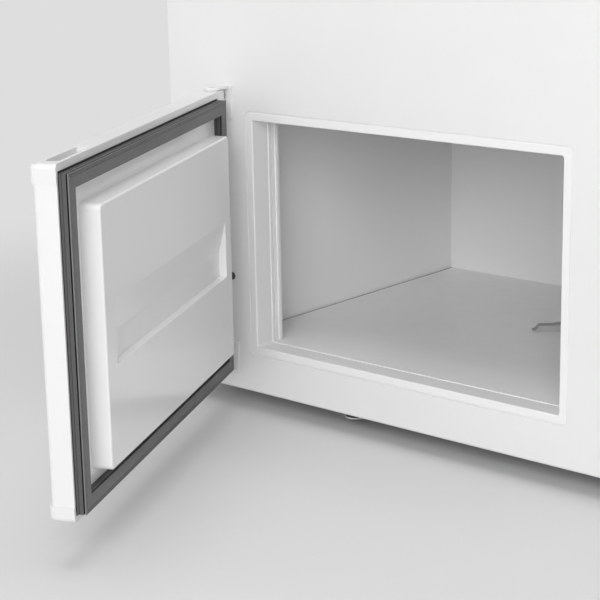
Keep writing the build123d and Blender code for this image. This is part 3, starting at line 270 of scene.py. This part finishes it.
def black_steel():
    """Black stoved paint with a little dust."""
    black = (0.018, 0.018, 0.019)
    finish = Finish("black_steel", black, 0.35)
    finish.tint(finish.noise(18 * MM, detail=5.0), (0.07, 0.068, 0.065), 0.0, 0.5)
    finish.rough(finish.noise(8 * MM), 0.1)
    finish.bump(finish.noise(1.2 * MM), 0.02 * MM)
    return finish.done()


def copper():
    """Drawn copper tube, tarnished in patches."""
    bright = (0.72, 0.36, 0.22)
    finish = Finish("copper", bright, 0.32, metallic=1.0)
    finish.tint(finish.noise(14 * MM, detail=5.0), (0.3, 0.15, 0.1), 0.0, 0.8)
    finish.rough(finish.noise(10 * MM), 0.1)
    finish.bump(finish.noise(0.8 * MM), 0.01 * MM)
    return finish.done()


def aluminium():
    """Rolled aluminium sheet with a grain along its length."""
    metal = (0.76, 0.77, 0.78)
    finish = Finish("aluminium", metal, 0.38, metallic=1.0)
    finish.tint(finish.noise(1.5 * MM, stretch=(0.04, 1, 1)), darker(metal, 0.85))
    finish.rough(finish.noise(3 * MM, stretch=(0.05, 1, 1)), 0.08)
    finish.bump(finish.noise(0.6 * MM, stretch=(0.03, 1, 1)), 0.01 * MM)
    return finish.done()


def foam():
    """Cut face of rigid foam."""
    cream = (0.78, 0.68, 0.4)
    finish = Finish("foam", cream, 0.9)
    finish.tint(finish.cells(1.2 * MM), darker(cream, 0.8))
    finish.rough(finish.noise(4 * MM), 0.05)
    finish.bump(finish.cells(1.2 * MM), 0.3 * MM)
    return finish.done()


def magnet_strip():
    """Flexible magnet: matt brown-black with fine lines."""
    brown = (0.06, 0.045, 0.04)
    finish = Finish("magnet_strip", brown, 0.7)
    finish.tint(finish.noise(2 * MM), darker(brown, 0.7))
    finish.rough(finish.noise(3 * MM), 0.08)
    finish.bump(finish.noise(0.6 * MM), 0.02 * MM)
    return finish.done()


materials = {
    "white_steel": painted_white(),
    "gloss_white": moulded_white("moulded_white", 0.77),
    "white_plastic": formed_white("formed_white", 0.88, 0.14).done(),
    "gasket_rubber": gasket_rubber(),
    "dark_rubber": rubber("dark_rubber", (0.05, 0.05, 0.052)),
    "grey_rubber": rubber("grey_rubber", (0.4, 0.4, 0.405)),
    "black_plastic": moulded("black_plastic", (0.025, 0.025, 0.026), 0.5),
    "grey_plastic": moulded("grey_plastic", (0.3, 0.3, 0.31), 0.5),
    "galvanised": galvanised(),
    "zinc": zinc_plated(),
    "black_steel": black_steel(),
    "copper": copper(),
    "aluminium": aluminium(),
    "foam": foam(),
    "magnet": magnet_strip(),
}

slot_of = {part["node"]: part["material_slot"] for part in frame["record"]["subparts"]}
for name, node in nodes.items():
    node.data.materials.clear()
    node.data.materials.append(materials[slot_of[name]])
nodes["inner_liner"].data.materials[0] = compartment_white_painted_light()
# the frame takes a lighter copy of the caps' moulded white; the extra brightness is painted light on
# the jamb
nodes["opening_frame"].data.materials[0] = moulded_white("frame_white_painted_light", 0.84)

# ---------------------------------------------------------------- stage


backdrop_grey = (0.73, 0.73, 0.73, 1)
floor_tones = ((0.72, 0.72, 0.72, 1), (0.74, 0.74, 0.74, 1))
floor_roughness = 0.7
floor_patches_per_metre = 3.0
floor_size = 40


def seen_directly(tree):
    """1 for rays from the camera, a mirror or glass, 0 for rays that carry light."""
    path = tree.nodes.new("ShaderNodeLightPath")
    either = tree.nodes.new("ShaderNodeMath")
    either.operation = "MAXIMUM"
    tree.links.new(path.outputs["Is Camera Ray"], either.inputs[0])
    tree.links.new(path.outputs["Is Glossy Ray"], either.inputs[1])
    every = tree.nodes.new("ShaderNodeMath")
    every.operation = "MAXIMUM"
    tree.links.new(either.outputs["Value"], every.inputs[0])
    tree.links.new(path.outputs["Is Transmission Ray"], every.inputs[1])
    return every.outputs["Value"]


def pale_floor(near, far):
    """Matt pale floor that runs into the backdrop's grey from near to far metres from the object."""
    material = bpy.data.materials.new("pale_floor")
    material.use_nodes = True
    tree = material.node_tree
    shader = tree.nodes["Principled BSDF"]
    shader.inputs["Roughness"].default_value = floor_roughness
    noise = tree.nodes.new("ShaderNodeTexNoise")
    noise.inputs["Scale"].default_value = floor_patches_per_metre
    blend = tree.nodes.new("ShaderNodeMix")
    blend.data_type = "RGBA"
    blend.inputs["A"].default_value = floor_tones[0]
    blend.inputs["B"].default_value = floor_tones[1]
    tree.links.new(noise.outputs["Fac"], blend.inputs["Factor"])
    tree.links.new(blend.outputs["Result"], shader.inputs["Base Color"])

    place = tree.nodes.new("ShaderNodeTexCoord")
    distance = tree.nodes.new("ShaderNodeVectorMath")
    distance.operation = "LENGTH"
    tree.links.new(place.outputs["Object"], distance.inputs[0])
    spread = tree.nodes.new("ShaderNodeMapRange")
    spread.interpolation_type = "SMOOTHSTEP"
    spread.inputs["From Min"].default_value = near
    spread.inputs["From Max"].default_value = far
    tree.links.new(distance.outputs["Value"], spread.inputs["Value"])
    share = tree.nodes.new("ShaderNodeMath")
    share.operation = "MULTIPLY"
    tree.links.new(spread.outputs["Result"], share.inputs[0])
    tree.links.new(seen_directly(tree), share.inputs[1])
    backdrop = tree.nodes.new("ShaderNodeEmission")
    backdrop.inputs["Color"].default_value = backdrop_grey
    mix = tree.nodes.new("ShaderNodeMixShader")
    tree.links.new(share.outputs["Value"], mix.inputs["Fac"])
    tree.links.new(shader.outputs["BSDF"], mix.inputs[1])
    tree.links.new(backdrop.outputs["Emission"], mix.inputs[2])
    tree.links.new(mix.outputs["Shader"], tree.nodes["Material Output"].inputs["Surface"])
    return material


def studio_world(level):
    """Even white light of the given level, behind which the backdrop's grey is seen."""
    world = bpy.data.worlds.new("studio")
    world.use_nodes = True
    tree = world.node_tree
    light = tree.nodes["Background"]
    light.inputs["Color"].default_value = (1, 1, 1, 1)
    light.inputs["Strength"].default_value = level
    backdrop = tree.nodes.new("ShaderNodeBackground")
    backdrop.inputs["Color"].default_value = backdrop_grey
    mix = tree.nodes.new("ShaderNodeMixShader")
    tree.links.new(seen_directly(tree), mix.inputs["Fac"])
    tree.links.new(light.outputs["Background"], mix.inputs[1])
    tree.links.new(backdrop.outputs["Background"], mix.inputs[2])
    tree.links.new(mix.outputs["Shader"], tree.nodes["World Output"].inputs["Surface"])
    return world


bpy.ops.mesh.primitive_plane_add(size=floor_size, location=(0, 0, 0))
floor = bpy.context.object
floor.name = "floor"
floor.data.materials.append(pale_floor(near=0.55, far=1.3))

bpy.context.scene.world = studio_world(level=0.37)


def aimed(name, data, place, aim):
    lamp = bpy.data.objects.new(name, data)
    lamp.location = place
    direction = Vector(aim) - Vector(place)
    lamp.rotation_euler = direction.to_track_quat("-Z", "Y").to_euler()
    bpy.context.scene.collection.objects.link(lamp)


def soft_light(name, place, aim, size, power):
    """A square soft box."""
    data = bpy.data.lights.new(name, "AREA")
    data.shape = "SQUARE"
    data.size = size
    data.energy = power
    aimed(name, data, place, aim)


def far_light(name, place, spread, power):
    """Even light from one side of the room, spread over so many degrees."""
    data = bpy.data.lights.new(name, "SUN")
    data.angle = math.radians(spread)
    data.energy = power
    aimed(name, data, place, (0, 0, 0))


soft_light("front_light", place=(1.4, -2.6, 1.3), aim=(0, -0.2, 0.2), size=1.4, power=41)
soft_light("side_light", place=(-2.2, -2.2, 0.9), aim=(0, -0.4, 0.2), size=1.4, power=6)
soft_light("top_light", place=(0, -0.5, 2.8), aim=(0, -0.3, 0.2), size=2.0, power=24)
far_light("room_light", place=(0.2, -2.0, 0.5), spread=60, power=0.42)

camera_data = bpy.data.cameras.new("camera")
camera_data.sensor_width = 36
camera_data.lens = 102.828
camera = bpy.data.objects.new("camera", camera_data)
camera_place = (1.0228, -1.6, 0.5833)
camera_turn = math.radians(41.54)
camera_tilt = math.radians(90 - 14.43)
camera_roll = math.radians(-1.145)
camera.matrix_world = (
    Matrix.Translation(camera_place)
    @ Matrix.Rotation(camera_turn, 4, "Z")
    @ Matrix.Rotation(camera_tilt, 4, "X")
    @ Matrix.Rotation(camera_roll, 4, "Z")
)
bpy.context.scene.collection.objects.link(camera)
bpy.context.scene.camera = camera
bpy.context.scene.view_settings.view_transform = "Standard"
